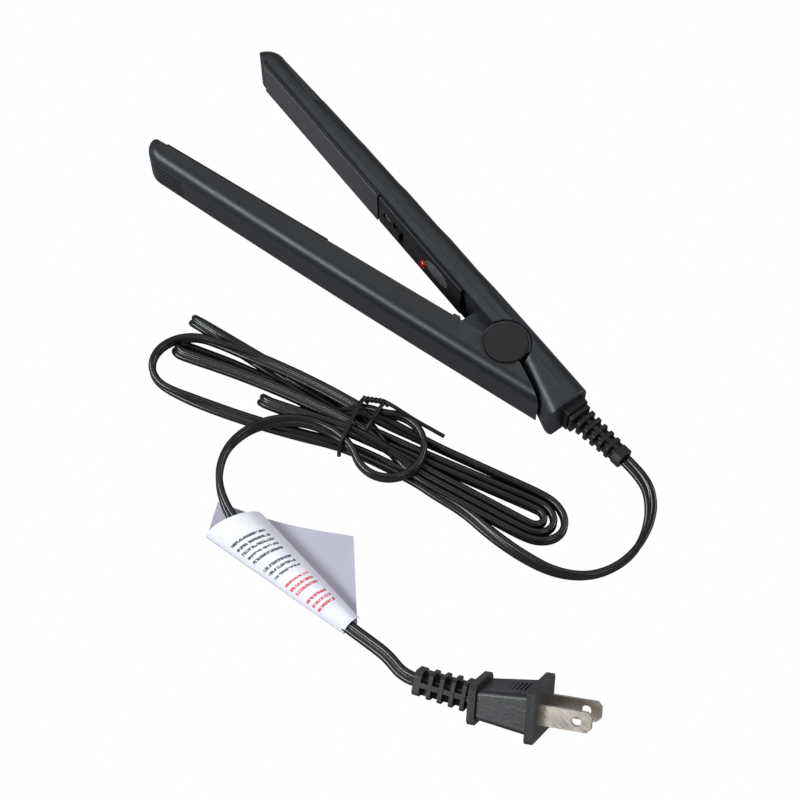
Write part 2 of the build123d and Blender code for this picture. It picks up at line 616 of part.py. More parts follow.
def plug_body():
    """Moulded plug: front flange, tapered grip, rear flange and ribbed relief."""
    half_s, half_w = PLUG_FACE[0] / 2, PLUG_FACE[1] / 2
    flange = Pos(-PLUG_FACE_T / 2, 0, 0) * Box(PLUG_FACE_T, *PLUG_FACE)
    flange = chamfer(flange.edges().filter_by(Axis.X), 1.2)
    front = Plane(origin=(-PLUG_FACE_T + 0.2, 0, 0), x_dir=(0, 1, 0), z_dir=(1, 0, 0))
    rear = Plane(origin=(PLUG_REAR + 2.0, 0, 0), x_dir=(0, 1, 0), z_dir=(1, 0, 0))
    grip = loft([rear * RectangleRounded(17.0, 9.2, 1.4), front * RectangleRounded(20.6, 12.6, 1.4)])
    back = Pos(PLUG_REAR + 1.2, 0, 0) * Box(2.4, 18.8, 12.8)
    back = chamfer(back.edges().filter_by(Axis.X), 1.5)
    body = flange + grip + back
    for side in (-1, 1):
        for i in range(8):
            body -= Pos(-14.5 + i * 1.3, 0, side * 6.0) * Box(0.6, 8.4, 1.3)
    body += plug_relief_frame() * ribbed_sleeve(**PLUG_RELIEF)
    for side in (-1, 1):
        body -= Pos(-2.4, side * BLADE_PITCH / 2, 0) * Box(5.2, BLADE[1] + 0.02, BLADE[2] + 0.02)
    return plug_plane() * body


def plug_blades():
    """Two flat blades with rounded tips and a hole each."""
    blades = []
    for side in (-1, 1):
        length = BLADE[0] + 4.6
        blade = Box(length, BLADE[1], BLADE[2])
        tip = blade.edges().filter_by(Axis.Y).filter_by_position(Axis.X, length / 2 - 0.01, length / 2 + 0.01)
        blade = chamfer(tip, 1.4)
        blade = Pos(length / 2 - 4.6, 0, 0) * blade
        blade -= Pos(BLADE_HOLE_X, 0, 0) * Rot(90, 0, 0) * Cylinder(BLADE_HOLE_R, 4)
        blades.append(plug_plane() * Pos(0, side * BLADE_PITCH / 2, 0) * blade)
    return blades


def save(name, shapes):
    """Write one node: a single solid, or several separate ones as a group."""
    group = shapes if isinstance(shapes, list) else [shapes]
    solids = [solid for shape in group for solid in shape.solids()]
    export_step(solids[0] if len(solids) == 1 else Compound(children=solids), f"parts/{name}.step")


def main():
    os.makedirs("parts", exist_ok=True)
    casing = root_casing()
    save("root_outer_shell", root_outer_shell(casing))
    save("root_inner_shell", root_inner_shell(casing))
    save("root_cover_panel", root_cover_panel())
    save("badge_oval", badge())
    save("indicator_lamp", indicator_lamp())
    save("panel_screw", pan_screw(SCREW_X, SCREW_Z, RECESS_Y))
    save("root_heater_plate", heater_plate())
    save("root_plate_carrier", plate_carrier())
    save("root_ceramic_heater", ceramic_heater())
    save("root_float_pads", float_pads())
    save("circuit_board", circuit_board())
    save("lamp_resistor", lamp_resistor())
    save("thermal_fuse", thermal_fuse())
    save("supply_wires", supply_wires())
    save("strain_relief", strain_relief())

    save("moving_outer_shell", moving_outer_shell())
    save("moving_inner_cover", opened(moving_inner_cover()))
    save("moving_cover_screw", opened(mirrored(pan_screw(SCREW_X, SCREW_Z, 2.35))))
    save("moving_heater_plate", opened(mirrored(heater_plate())))
    save("moving_plate_carrier", opened(mirrored(plate_carrier())))
    save("moving_ceramic_heater", opened(mirrored(ceramic_heater())))
    save("moving_float_pads", [opened(mirrored(pad)) for pad in float_pads()])

    save("pivot_sleeve", disc(SLEEVE_R, 3.65, WIDTH - 3.65) - disc(SLEEVE_BORE, 0, WIDTH))
    save("pivot_screw", pivot_screw())
    save("pivot_nut", opened(pivot_nut()))
    save("pivot_cap_upper", pivot_cap(WIDTH - CAP_T, WIDTH, WIDTH))
    save("pivot_cap_lower", pivot_cap(0, CAP_T, 0))
    save("return_spring", return_spring())

    hank = cord_hank()
    iron_end = relief_run(relief_frame(), RELIEF, LEAD_START)
    plug_end = relief_run(plug_plane().location * plug_relief_frame(), PLUG_RELIEF, TAIL_START)
    lead_path = cord_path("cord_lead", iron_end + LEAD_POINTS)
    tail_path = cord_path("cord_tail", TAIL_POINTS + plug_end[::-1])
    print("relief ends", iron_end, plug_end)
    save("cord_lead", bar(lead_path, CORD_R) - hank)
    save("cord_hank", hank)
    save("cord_tail", bar(tail_path, CORD_R) - hank)
    save("paper_tag", paper_tag(tail_path))
    save("twist_tie", twist_tie())
    save("plug_body", plug_body())
    save("plug_blades", plug_blades())


main()
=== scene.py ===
import math

import bmesh
import bpy
from mathutils import Matrix, Vector


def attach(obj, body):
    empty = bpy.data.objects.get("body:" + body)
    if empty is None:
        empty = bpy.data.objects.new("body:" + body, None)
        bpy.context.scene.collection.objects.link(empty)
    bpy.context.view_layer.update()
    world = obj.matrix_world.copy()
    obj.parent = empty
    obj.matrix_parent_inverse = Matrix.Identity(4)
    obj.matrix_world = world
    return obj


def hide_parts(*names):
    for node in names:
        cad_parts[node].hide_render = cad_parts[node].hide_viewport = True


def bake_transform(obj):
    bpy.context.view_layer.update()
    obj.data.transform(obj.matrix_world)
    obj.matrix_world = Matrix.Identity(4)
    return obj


# Looks of a small plate iron with a tied cord, a paper tag and a plug. Metres, in the frame of the CAD part.
MM = 0.001
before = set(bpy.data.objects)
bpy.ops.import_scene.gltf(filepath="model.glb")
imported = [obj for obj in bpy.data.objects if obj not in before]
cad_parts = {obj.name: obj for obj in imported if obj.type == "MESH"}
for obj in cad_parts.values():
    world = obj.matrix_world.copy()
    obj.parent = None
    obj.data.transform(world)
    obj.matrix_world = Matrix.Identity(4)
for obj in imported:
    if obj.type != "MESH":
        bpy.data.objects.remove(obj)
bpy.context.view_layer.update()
SCENE = bpy.context.scene


# ---- small helpers ----

def mm(*values):
    """A point given in millimetres."""
    return Vector(values) * MM


def new_mesh(name, vertices, faces, smooth=True):
    """An object from points and faces, linked to the scene."""
    mesh = bpy.data.meshes.new(name)
    mesh.from_pydata([tuple(v) for v in vertices], [], faces)
    mesh.validate()
    tidy = bmesh.new()
    tidy.from_mesh(mesh)
    bmesh.ops.recalc_face_normals(tidy, faces=tidy.faces)
    tidy.to_mesh(mesh)
    tidy.free()
    for polygon in mesh.polygons:
        polygon.use_smooth = smooth
    thing = bpy.data.objects.new(name, mesh)
    SCENE.collection.objects.link(thing)
    return thing


def paint(thing, material):
    """Give every slot of an object one material."""
    slots = thing.data.materials
    if not slots:
        slots.append(material)
    for i in range(len(slots)):
        slots[i] = material


# ---- node materials ----

BLACK_INK = (0.03, 0.03, 0.04)
RED_INK = (0.55, 0.03, 0.05)
LINE_PITCH = 0.0405     # shares of the tag's length
BLOCK_PITCH = 0.078
LINE_WIDTH = 0.019


class Nodes:
    """A material's node tree, with short calls for what the materials below share."""

    def __init__(self, name):
        self.material = bpy.data.materials.new(name)
        self.material.use_nodes = True
        self.tree = self.material.node_tree
        self.shader = self.tree.nodes["Principled BSDF"]
        self.place = self.add("ShaderNodeTexCoord").outputs["Object"]

    def add(self, kind, **values):
        node = self.tree.nodes.new(kind)
        for key, value in values.items():
            setattr(node, key, value)
        return node

    def link(self, source, target):
        self.tree.links.new(source, target)

    def set(self, **values):
        """Set the shader's own sockets, spaces written as underscores."""
        for key, value in values.items():
            self.shader.inputs[key.replace("_", " ")].default_value = value

    def noise(self, scale, detail=4.0, roughness=0.55, place=None):
        node = self.add("ShaderNodeTexNoise")
        node.inputs["Scale"].default_value = scale
        node.inputs["Detail"].default_value = detail
        node.inputs["Roughness"].default_value = roughness
        self.link(place or self.place, node.inputs["Vector"])
        return node.outputs["Fac"]

    def cells(self, scale, feature="F1", place=None):
        node = self.add("ShaderNodeTexVoronoi", feature=feature)
        node.inputs["Scale"].default_value = scale
        self.link(place or self.place, node.inputs["Vector"])
        return node.outputs["Distance"]

    def stretched(self, x, y, z, place=None):
        """Coordinates scaled by axis, for grain that runs one way."""
        node = self.add("ShaderNodeMapping")
        node.inputs["Scale"].default_value = (x, y, z)
        self.link(place or self.place, node.inputs["Vector"])
        return node.outputs["Vector"]

    def split(self, source):
        """The first two parts of a vector."""
        node = self.add("ShaderNodeSeparateXYZ")
        self.link(source, node.inputs["Vector"])
        return node.outputs["X"], node.outputs["Y"]

    def steps(self, source, stops):
        """Colour and alpha that change in steps along a factor."""
        node = self.add("ShaderNodeValToRGB")
        ramp = node.color_ramp
        ramp.interpolation = "CONSTANT"
        ramp.elements.remove(ramp.elements[1])
        ramp.elements[0].position, ramp.elements[0].color = stops[0]
        for place, colour in stops[1:]:
            ramp.elements.new(place).color = colour
        self.link(source, node.inputs["Fac"])
        return node.outputs["Color"], node.outputs["Alpha"]

    def span(self, source, low, high, source_low=0.3, source_high=0.7):
        """A factor mapped to a range of values."""
        node = self.add("ShaderNodeMapRange")
        node.inputs["From Min"].default_value = source_low
        node.inputs["From Max"].default_value = source_high
        node.inputs["To Min"].default_value = low
        node.inputs["To Max"].default_value = high
        self.link(source, node.inputs["Value"])
        return node.outputs["Result"]

    def blend(self, factor, first, second):
        """Two colours, or linked colours, mixed by a factor."""
        node = self.add("ShaderNodeMix", data_type="RGBA")
        self.link(factor, node.inputs["Factor"])
        for socket, colour in ((node.inputs["A"], first), (node.inputs["B"], second)):
            if isinstance(colour, tuple):
                socket.default_value = (*colour, 1.0)
            else:
                self.link(colour, socket)
        return node.outputs["Result"]

    def multiply(self, first, second):
        node = self.add("ShaderNodeMath", operation="MULTIPLY")
        self.link(first, node.inputs[0])
        self.link(second, node.inputs[1])
        return node.outputs["Value"]

    def sum(self, first, second, share=0.5):
        node = self.add("ShaderNodeMath", operation="MULTIPLY_ADD")
        self.link(second, node.inputs[0])
        node.inputs[1].default_value = share
        self.link(first, node.inputs[2])
        return node.outputs["Value"]

    def edges(self, low=0.52, high=0.58):
        """A factor of 1 along raised edges."""
        return self.span(self.add("ShaderNodeNewGeometry").outputs["Pointiness"], 0.0, 1.0, low, high)

    def bump(self, height, strength, distance):
        node = self.add("ShaderNodeBump")
        node.inputs["Strength"].default_value = strength
        node.inputs["Distance"].default_value = distance
        self.link(height, node.inputs["Height"])
        self.link(node.outputs["Normal"], self.shader.inputs["Normal"])

    def colour(self, source):
        self.link(source, self.shader.inputs["Base Color"])

    def rough(self, source):
        self.link(source, self.shader.inputs["Roughness"])


def moulded_plastic(name, dark, light, roughness, grain=2600.0, depth=0.00005, strength=0.25, gloss=0.5):
    """Moulded plastic: a fine spark-eroded grain, a slow change of gloss and paler worn edges."""
    m = Nodes(name)
    slow = m.noise(45.0)
    base = m.blend(m.span(slow, 0.0, 1.0), dark, light)
    worn = m.multiply(m.edges(), m.span(m.noise(300.0), 0.0, 0.5))
    m.colour(m.blend(worn, base, tuple(min(1.0, c * 1.9) for c in light)))
    m.rough(m.span(m.noise(140.0), roughness[0], roughness[1]))
    m.bump(m.sum(m.noise(grain, 2.0), m.cells(grain * 0.6), 0.6), strength, depth)
    m.set(Specular_IOR_Level=gloss)
    return m.material


def casing_material():
    """Satin black casing with a fine, slightly metallic-looking texture."""
    m = Nodes("casing_black")
    slow = m.noise(30.0)
    base = m.blend(m.span(slow, 0.0, 1.0), (0.0082, 0.0084, 0.0096), (0.0106, 0.0109, 0.0124))
    fleck = m.span(m.cells(2400.0), 1.0, 0.0, 0.0, 0.35)
    base = m.blend(m.multiply(fleck, m.span(m.noise(900.0), 0.0, 0.5)), base, (0.030, 0.033, 0.038))
    m.colour(m.blend(m.multiply(m.edges(), m.span(m.noise(260.0), 0.1, 0.6)), base, (0.036, 0.039, 0.045)))
    m.rough(m.span(m.noise(120.0), 0.36, 0.44))
    m.bump(m.sum(m.noise(1900.0, 3.0), m.cells(1300.0), 0.7), 0.28, 0.00006)
    m.set(Specular_IOR_Level=0.40, Specular_Tint=(0.93, 0.98, 1.0, 1.0))
    return m.material


def plate_material():
    """Ceramic-coated plate: faint grinding lines and a soft sheen."""
    m = Nodes("plate_coating")
    lines = m.noise(260.0, 6.0, 0.6, m.stretched(0.08, 1.0, 1.6))
    m.colour(m.blend(m.span(lines, 0.0, 1.0), (0.034, 0.033, 0.036), (0.044, 0.042, 0.046)))
    m.rough(m.span(m.noise(700.0, 5.0, 0.6, m.stretched(0.1, 1.0, 1.0)), 0.36, 0.42))
    m.bump(lines, 0.05, 0.00003)
    m.set(Metallic=0.25, Specular_IOR_Level=0.5)
    return m.material


def metal_material(name, colour, roughness, grain=(1.0, 1.0, 1.0)):
    """Plated metal with fine scratches and a little tarnish."""
    m = Nodes(name)
    scratches = m.noise(900.0, 6.0, 0.65, m.stretched(*grain))
    dull = tuple(c * 0.72 for c in colour)
    m.colour(m.blend(m.span(m.noise(160.0), 0.0, 1.0), colour, dull))
    m.rough(m.span(scratches, roughness[0], roughness[1]))
    m.bump(scratches, 0.10, 0.00003)
    m.set(Metallic=1.0)
    return m.material


def cord_material():
    """Glossy flexible PVC: a slow waviness and a thin bloom of dust."""
    m = Nodes("cord_black")
    dust = m.span(m.noise(300.0, 3.0, 0.6), 0.0, 0.20, 0.5, 0.8)
    m.colour(m.blend(dust, (0.0045, 0.0045, 0.005), (0.012, 0.012, 0.014)))
    m.rough(m.span(m.noise(120.0), 0.22, 0.30))
    m.bump(m.sum(m.noise(110.0, 1.0), m.noise(420.0, 1.0), 0.2), 0.06, 0.00015)
    m.set(Specular_IOR_Level=0.45)
    return m.material


def print_lines():
    """Start of each printed line along the tag and its ink, in blocks of lines."""
    lines = []
    place = 0.16
    for count, ink in ((5, BLACK_INK), (3, BLACK_INK), (3, RED_INK), (3, RED_INK)):
        lines += [(place + i * LINE_PITCH, ink) for i in range(count)]
        place += (count - 1) * LINE_PITCH + BLOCK_PITCH
    return lines


def paper_material():
    """Coated paper, painted darker on the flap as painted shade, printed with broken bars in place of words.
    """
    m = Nodes("tag_paper")
    paper = m.blend(m.span(m.noise(380.0), 0.0, 1.0), (0.78, 0.77, 0.84), (0.72, 0.71, 0.79))
    sheet = m.add("ShaderNodeUVMap", uv_map="print").outputs["UV"]
    along, across = m.split(sheet)
    # Painted shade: the flap (across below zero) gets a darker lavender tone than the cone.
    paper = m.blend(m.span(across, 1.0, 0.0, -0.02, 0.02), paper, (0.40, 0.385, 0.47))
    stops = [(0.0, (*BLACK_INK, 0.0))]
    for place, ink in print_lines():
        stops += [(place, (*ink, 1.0)), (place + LINE_WIDTH, (*ink, 0.0))]
    ink, lines = m.steps(along, stops)
    margins = m.steps(across, [(0.0, (0, 0, 0, 0)), (0.16, (1, 1, 1, 1)), (0.66, (0, 0, 0, 0))])[1]
    words = m.noise(1.0, 1.0, 0.5, m.stretched(55.0, 34.0, 1.0, sheet))
    mask = m.multiply(m.multiply(lines, margins), m.span(words, 0.0, 0.92, 0.40, 0.44))
    m.colour(m.blend(mask, paper, ink))
    m.rough(m.span(m.noise(500.0), 0.48, 0.62))
    m.bump(m.sum(m.noise(900.0), m.noise(90.0), 1.5), 0.15, 0.00012)
    m.set(Specular_IOR_Level=0.4)
    return m.material


def lamp_material():
    """Red lens, mottled between a brighter and a darker red."""
    m = Nodes("lamp_red")
    m.colour(m.blend(m.span(m.noise(700.0), 0.0, 1.0), (0.55, 0.005, 0.012), (0.28, 0.002, 0.006)))
    m.rough(m.span(m.noise(400.0), 0.08, 0.16))
    m.set(Transmission_Weight=0.35, IOR=1.49, Coat_Weight=0.5, Coat_Roughness=0.05)
    return m.material


def floor_material():
    """Plain floor, pure white to the camera and pale to everything else."""
    m = Nodes("pale_floor")
    m.colour(m.blend(m.span(m.noise(3.0), 0.0, 1.0), (0.24, 0.24, 0.25), (0.26, 0.26, 0.27)))
    m.set(Roughness=0.9)
    seen = m.add("ShaderNodeEmission")
    seen.inputs["Color"].default_value = (1.0, 1.0, 1.0, 1.0)
    mix = m.add("ShaderNodeMixShader")
    m.link(m.add("ShaderNodeLightPath").outputs["Is Camera Ray"], mix.inputs[0])
    m.link(m.shader.outputs["BSDF"], mix.inputs[1])
    m.link(seen.outputs["Emission"], mix.inputs[2])
    m.link(mix.outputs["Shader"], m.tree.nodes["Material Output"].inputs["Surface"])
    return m.material


CASING = casing_material()
PANEL = moulded_plastic("panel_black", (0.007, 0.007, 0.008), (0.011, 0.011, 0.012), (0.42, 0.55), gloss=0.25)
CAP = moulded_plastic("cap_black", (0.010, 0.009, 0.010), (0.014, 0.013, 0.014), (0.55, 0.68), 3000.0,
                      gloss=0.3)
RELIEF = moulded_plastic("relief_black", (0.005, 0.005, 0.006), (0.009, 0.009, 0.010), (0.36, 0.52), 1400.0,
                         gloss=0.25)
PLUG = moulded_plastic("plug_black", (0.007, 0.007, 0.008), (0.014, 0.014, 0.016), (0.34, 0.46), 1100.0,
                       0.00010, 0.40, gloss=0.5)
TIE = moulded_plastic("tie_black", (0.004, 0.004, 0.005), (0.008, 0.008, 0.009), (0.35, 0.5), 1800.0,
                      gloss=0.25)
CORD = cord_material()
PAPER = paper_material()
STEEL = metal_material("zinc_steel", (0.62, 0.62, 0.63), (0.22, 0.38))
BLADE = metal_material("nickel_plate", (0.84, 0.75, 0.64), (0.24, 0.36), (0.15, 1.0, 1.0))
RESIN = moulded_plastic("resin", (0.28, 0.25, 0.20), (0.34, 0.30, 0.24), (0.5, 0.7))
CERAMIC = moulded_plastic("white_ceramic", (0.8, 0.78, 0.74), (0.86, 0.84, 0.8), (0.4, 0.6))
SILICONE = moulded_plastic("silicone", (0.55, 0.16, 0.09), (0.62, 0.2, 0.12), (0.5, 0.65))
COATING = plate_material()

NODE_LOOKS = {
    "root_outer_shell": CASING,
    "root_inner_shell": CASING,
    "moving_outer_shell": CASING,
    "root_cover_panel": PANEL,
    "moving_inner_cover": PANEL,
    "badge_oval": moulded_plastic("badge_grey", (0.05, 0.05, 0.052), (0.07, 0.07, 0.073), (0.18, 0.3)),
    "indicator_lamp": lamp_material(),
    "panel_screw": STEEL,
    "moving_cover_screw": STEEL,
    "root_heater_plate": COATING,
    "moving_heater_plate": COATING,
    "root_plate_carrier": RESIN,
    "moving_plate_carrier": RESIN,
    "root_ceramic_heater": CERAMIC,
    "moving_ceramic_heater": CERAMIC,
    "root_float_pads": SILICONE,
    "moving_float_pads": SILICONE,
    "circuit_board": moulded_plastic("board_green", (0.01, 0.10, 0.03), (0.02, 0.14, 0.05), (0.3, 0.45)),
    "lamp_resistor": moulded_plastic("resistor_tan", (0.5, 0.38, 0.22), (0.6, 0.46, 0.28), (0.3, 0.45)),
    "thermal_fuse": metal_material("fuse_can", (0.75, 0.75, 0.76), (0.25, 0.4)),
    "supply_wires": moulded_plastic("wire_white", (0.66, 0.65, 0.6), (0.74, 0.73, 0.68), (0.35, 0.5)),
    "strain_relief": RELIEF,
    "pivot_sleeve": STEEL,
    "pivot_screw": STEEL,
    "pivot_nut": STEEL,
    "pivot_cap_upper": CAP,
    "pivot_cap_lower": CAP,
    "plug_body": PLUG,
    "plug_blades": BLADE,
}


def dress_cad_nodes():
    """Materials of the CAD nodes that stay."""
    for name, material in NODE_LOOKS.items():
        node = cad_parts[name]
        paint(node, material)


# ---- return spring ----


def make_spring():
    """The return spring, which twists between the arms, copied whole from its CAD node."""
    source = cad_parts["return_spring"]
    mesh = source.data.copy()
    mesh.transform(source.matrix_world)
    spring = bpy.data.objects.new("torsion_spring", mesh)
    SCENE.collection.objects.link(spring)
    paint(spring, metal_material("spring_steel", (0.5, 0.5, 0.52), (0.25, 0.4)))
    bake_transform(spring)
    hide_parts("return_spring")


# ---- cord ----

CORE_R = 1.2
CORE_OFFSET = 1.0       # of each core from the middle
CORE_SIDES = 11         # points round each core
SAMPLES = 10            # points read from the spline between two control points
EDGE = 0                # the wide side stands up
LYING = 67              # the wide side leans back
HANK_CENTRE = (-10.5, -52.5)
HANK_ANGLE = math.radians(22.5)

# Route of the lead and of the tail, as the part has them: x, y, z and the lean of the wide side to the left.
LEAD = [
    (69.9, 6.1, 7.0, 60), (75.6, 0.0, 4.4, 25), (79.0, -8.4, 2.6, EDGE), (79.0, -17.8, 2.3, EDGE),
    (75.6, -26.4, 2.3, EDGE), (68.2, -33.4, 2.3, -20), (57.6, -38.0, 2.3, -50), (46.0, -41.2, 2.3, -75),
    (34.6, -43.0, 2.3, -80), (24.4, -46.8, 2.3, -80), (15.4, -49.4, 2.3, -LYING),
]
TAIL = [
    (-22.4, -67.8, 6.2, -60), (-28.0, -75.0, 5.6, -40), (-31.2, -83.6, 4.0, -15), (-30.3, -93.0, 2.8, EDGE),
    (-24.2, -100.4, 2.3, EDGE), (-15.0, -104.5, 2.3, 20), (-4.0, -105.6, 2.3, 50), (8.0, -104.3, 2.3, LYING),
    (21.0, -101.6, 2.3, LYING), (34.0, -99.2, 2.3, LYING), (45.0, -96.7, 2.5, LYING),
    (53.0, -94.6, 3.3, LYING), (60.0, -93.1, 4.6, LYING),
]
RELIEF_END = (52.9, 7.74, 9.5)
RELIEF_RUN = (9.4, 0.99, 0.0)
PLUG_END = (72.4, -90.9, 7.0)
PLUG_RUN = (-3.7, -2.4, -0.8)

# Each turn of the hank, in (along, across, up): where it passes the tie, folds, and turns beyond the ring.
# fold: middle, half of the step from the strand that comes in to the one that goes out, reach and skew.
# nose: middle, half width and reach.
TURNS = [
    dict(tie_in=(0, -8.3, 2.2), bow_in=-1.8, fold=((-60.0, -10.6, 4.2), (10.9, 2.0), 13.0, 3.0),
         fold_lean=EDGE, bow_out=1.6, tie_out=(0, 3.9, 6.2), gate_out=(24, 6.4, 2.3),
         nose=((65.5, 1.4, 2.3), 8.1, 10.9), gate_in=(24, -6.9, 2.3)),
    dict(tie_in=(0, 2.8, 1.8), bow_in=0.0, fold=((-66.2, 4.6, 3.4), (-0.75, 1.6), 3.2, 0.0),
         fold_lean=LYING, bow_out=0.0, tie_out=(0, -0.5, 2.2), gate_out=(25, 2.4, 2.3),
         nose=((65.5, 1.2, 2.3), 5.4, 7.1), gate_in=(24, -4.5, 2.3)),
    dict(tie_in=(0, -2.0, 6.4), bow_in=1.6, fold=((-64.8, -6.8, 3.5), (2.1, -1.7), 3.6, 0.0),
         fold_lean=LYING, bow_out=2.8, tie_out=(0, -3.2, 1.7), gate_out=(26, 0.2, 2.3),
         nose=((65.5, 1.15, 2.3), 2.85, 3.6), gate_in=(24, -2.1, 2.3)),
]
LAST_TIE = (0, -4.6, 6.8)
LAST_FOLD = ((-29.9, -9.0, 3.9), (0.9, -2.1), 3.0, 0.0)
LAST_RETURN = [(-20.0, -6.5, 1.7), (-9.0, -1.5, 4.0), (-2.0, 4.2, 6.2)]
RING_CENTRE = (2.7, -50.2)
RING_R = 11.7
RING_Z = 6.6
RING_SPAN = (150, -120)     # degrees, clockwise
RING_STEPS = 12
RING_EXIT = [(-9.3, -60.9, 6.6, -20), (-15.8, -63.3, 6.5, -50)]


def with_sides(points):
    """Listed points as places and wide sides, from their heading and lean."""
    result = []
    for i, point in enumerate(points):
        first, last = points[max(i - 1, 0)], points[min(i + 1, len(points) - 1)]
        heading = math.atan2(last[1] - first[1], last[0] - first[0])
        lean = math.radians(point[3])
        side = (-math.sin(heading) * math.sin(lean), math.cos(heading) * math.sin(lean), math.cos(lean))
        result.append((point[:3], side))
    return result


def on_hank(place, lean):
    """A place along, across and above the hank, with a wide side that leans across it."""
    c, s = math.cos(HANK_ANGLE), math.sin(HANK_ANGLE)
    u, v, z = place
    tilt, rise = math.sin(math.radians(lean)), math.cos(math.radians(lean))
    return (HANK_CENTRE[0] + u * c - v * s, HANK_CENTRE[1] + u * s + v * c, z), (-s * tilt, c * tilt, rise)


def run(start, end, count, bow=0.0):
    """Places between two ends, bowed across the hank; the ends are left out."""
    places = []
    for i in range(1, count + 1):
        t = i / (count + 1)
        u, v, z = (a + (b - a) * t for a, b in zip(start, end))
        places.append((u, v + bow * 4 * t * (1 - t), z))
    return places


def bend(middle, half, reach, skew=0.0, steps=5):
    """Places round the end of a turn, from the strand that comes in to the one that goes out."""
    places = []
    for i in range(steps + 2):
        angle = math.pi * (i / (steps + 1) - 0.5)
        across = math.sin(angle)
        places.append((middle[0] + reach * math.cos(angle) + skew * across, middle[1] + across * half[0],
                       middle[2] + across * half[1]))
    return places


def hank_turns():
    """The turns of the hank, from the end of the lead to the last fold, as places and wide sides."""
    route = []
    next_ties = [turn["tie_in"] for turn in TURNS[1:]] + [LAST_TIE]
    for turn, next_tie in zip(TURNS, next_ties):
        middle, half, reach, skew = turn["fold"]
        fold = bend(middle, half, -reach, skew)
        middle, half_width, reach = turn["nose"]
        nose = bend(middle, (-half_width, 0.0), reach)
        tie_in, tie_out = turn["tie_in"], turn["tie_out"]
        gate_out, gate_in = turn["gate_out"], turn["gate_in"]
        incoming = [tie_in] + run(tie_in, fold[0], 3, turn["bow_in"])
        outgoing = run(fold[-1], tie_out, 3, turn["bow_out"]) + [tie_out]
        loop = [gate_out] + run(gate_out, nose[0], 2) + nose + run(nose[-1], gate_in, 2) + [gate_in]
        route += [on_hank(place, LYING) for place in incoming]
        route += [on_hank(place, turn["fold_lean"]) for place in fold]
        route += [on_hank(place, LYING) for place in outgoing]
        route += [on_hank(place, EDGE) for place in loop + run(gate_in, next_tie, 1)]
    middle, half, reach, skew = LAST_FOLD
    fold = bend(middle, half, -reach, skew)
    last = [LAST_TIE] + run(LAST_TIE, fold[0], 2) + fold + LAST_RETURN
    return route + [on_hank(place, LYING) for place in last]


def ring_points():
    """The loose ring of cord that lies on the hank beside the tie."""
    points = []
    for i in range(RING_STEPS + 1):
        a = math.radians(RING_SPAN[0] + (RING_SPAN[1] - RING_SPAN[0]) * i / RING_STEPS)
        x = RING_CENTRE[0] + RING_R * math.cos(a)
        y = RING_CENTRE[1] + RING_R * math.sin(a)
        points.append((x, y, RING_Z, EDGE))
    return points


def cord_route():
    """Places and wide sides of the whole cord, from the strain relief to the plug."""
    start = [(*RELIEF_END, 80), (*(a + b for a, b in zip(RELIEF_END, RELIEF_RUN)), 80)]
    end = [(*(a + b for a, b in zip(PLUG_END, PLUG_RUN)), LYING), (*PLUG_END, LYING)]
    return with_sides(start + LEAD) + hank_turns() + with_sides(ring_points() + RING_EXIT + TAIL + end)


def spline_points(name, points):
    """Points read from a NURBS spline with these control points."""
    curve = bpy.data.curves.new(name, "CURVE")
    curve.dimensions = "3D"
    curve.resolution_u = SAMPLES
    spline = curve.splines.new("NURBS")
    spline.points.add(len(points) - 1)
    for target, point in zip(spline.points, points):
        target.co = (*point, 1.0)
    spline.order_u = 3
    spline.use_endpoint_u = True
    holder = bpy.data.objects.new(name, curve)
    SCENE.collection.objects.link(holder)
    bpy.context.view_layer.update()
    mesh = bpy.data.meshes.new_from_object(holder)
    read = [v.co.copy() for v in mesh.vertices]
    bpy.data.objects.remove(holder)
    bpy.data.meshes.remove(mesh)
    bpy.data.curves.remove(curve)
    return read


def steady(sides):
    """Wide sides with no flip between neighbours."""
    result = [Vector(sides[0])]
    for side in sides[1:]:
        side = Vector(side)
        result.append(-side if side.dot(result[-1]) < 0 else side)
    return result


def cord_section():
    """Outline of the flat two-core cord: across its wide side, and across its thin side."""
    outline = []
    groove = math.acos(CORE_OFFSET / CORE_R)
    for centre, turn in ((CORE_OFFSET, 0.0), (-CORE_OFFSET, math.pi)):
        for i in range(CORE_SIDES):
            a = turn - math.pi + groove + (2 * math.pi - 2 * groove) * i / (CORE_SIDES - 1)
            outline.append((centre + CORE_R * math.cos(a), CORE_R * math.sin(a)))
    return outline


def tube(name, path, sides, section):
    """A closed tube: a section carried along a path, its first axis towards the given sides."""
    count = len(section)
    vertices = []
    for i, point in enumerate(path):
        ahead = (path[min(i + 1, len(path) - 1)] - path[max(i - 1, 0)]).normalized()
        wide = sides[i] - ahead * ahead.dot(sides[i])
        wide.normalize()
        thin = ahead.cross(wide)
        vertices += [point + wide * (a * MM) + thin * (b * MM) for a, b in section]
    faces = []
    for i in range(len(path) - 1):
        for j in range(count):
            k = (j + 1) % count
            faces.append((i * count + j, i * count + k, (i + 1) * count + k, (i + 1) * count + j))
    faces.append(tuple(range(count)))
    faces.append(tuple((len(path) - 1) * count + j for j in range(count)))
    return new_mesh(name, vertices, faces)


def without_doubles(*lists):
    """Matching lists without the steps where the first one stands still."""
    kept = [tuple(items) for items in zip(*lists)]
    result = [kept[0]]
    for items in kept[1:]:
        if (items[0] - result[-1][0]).length > 0.00002:
            result.append(items)
    return [list(column) for column in zip(*result)]


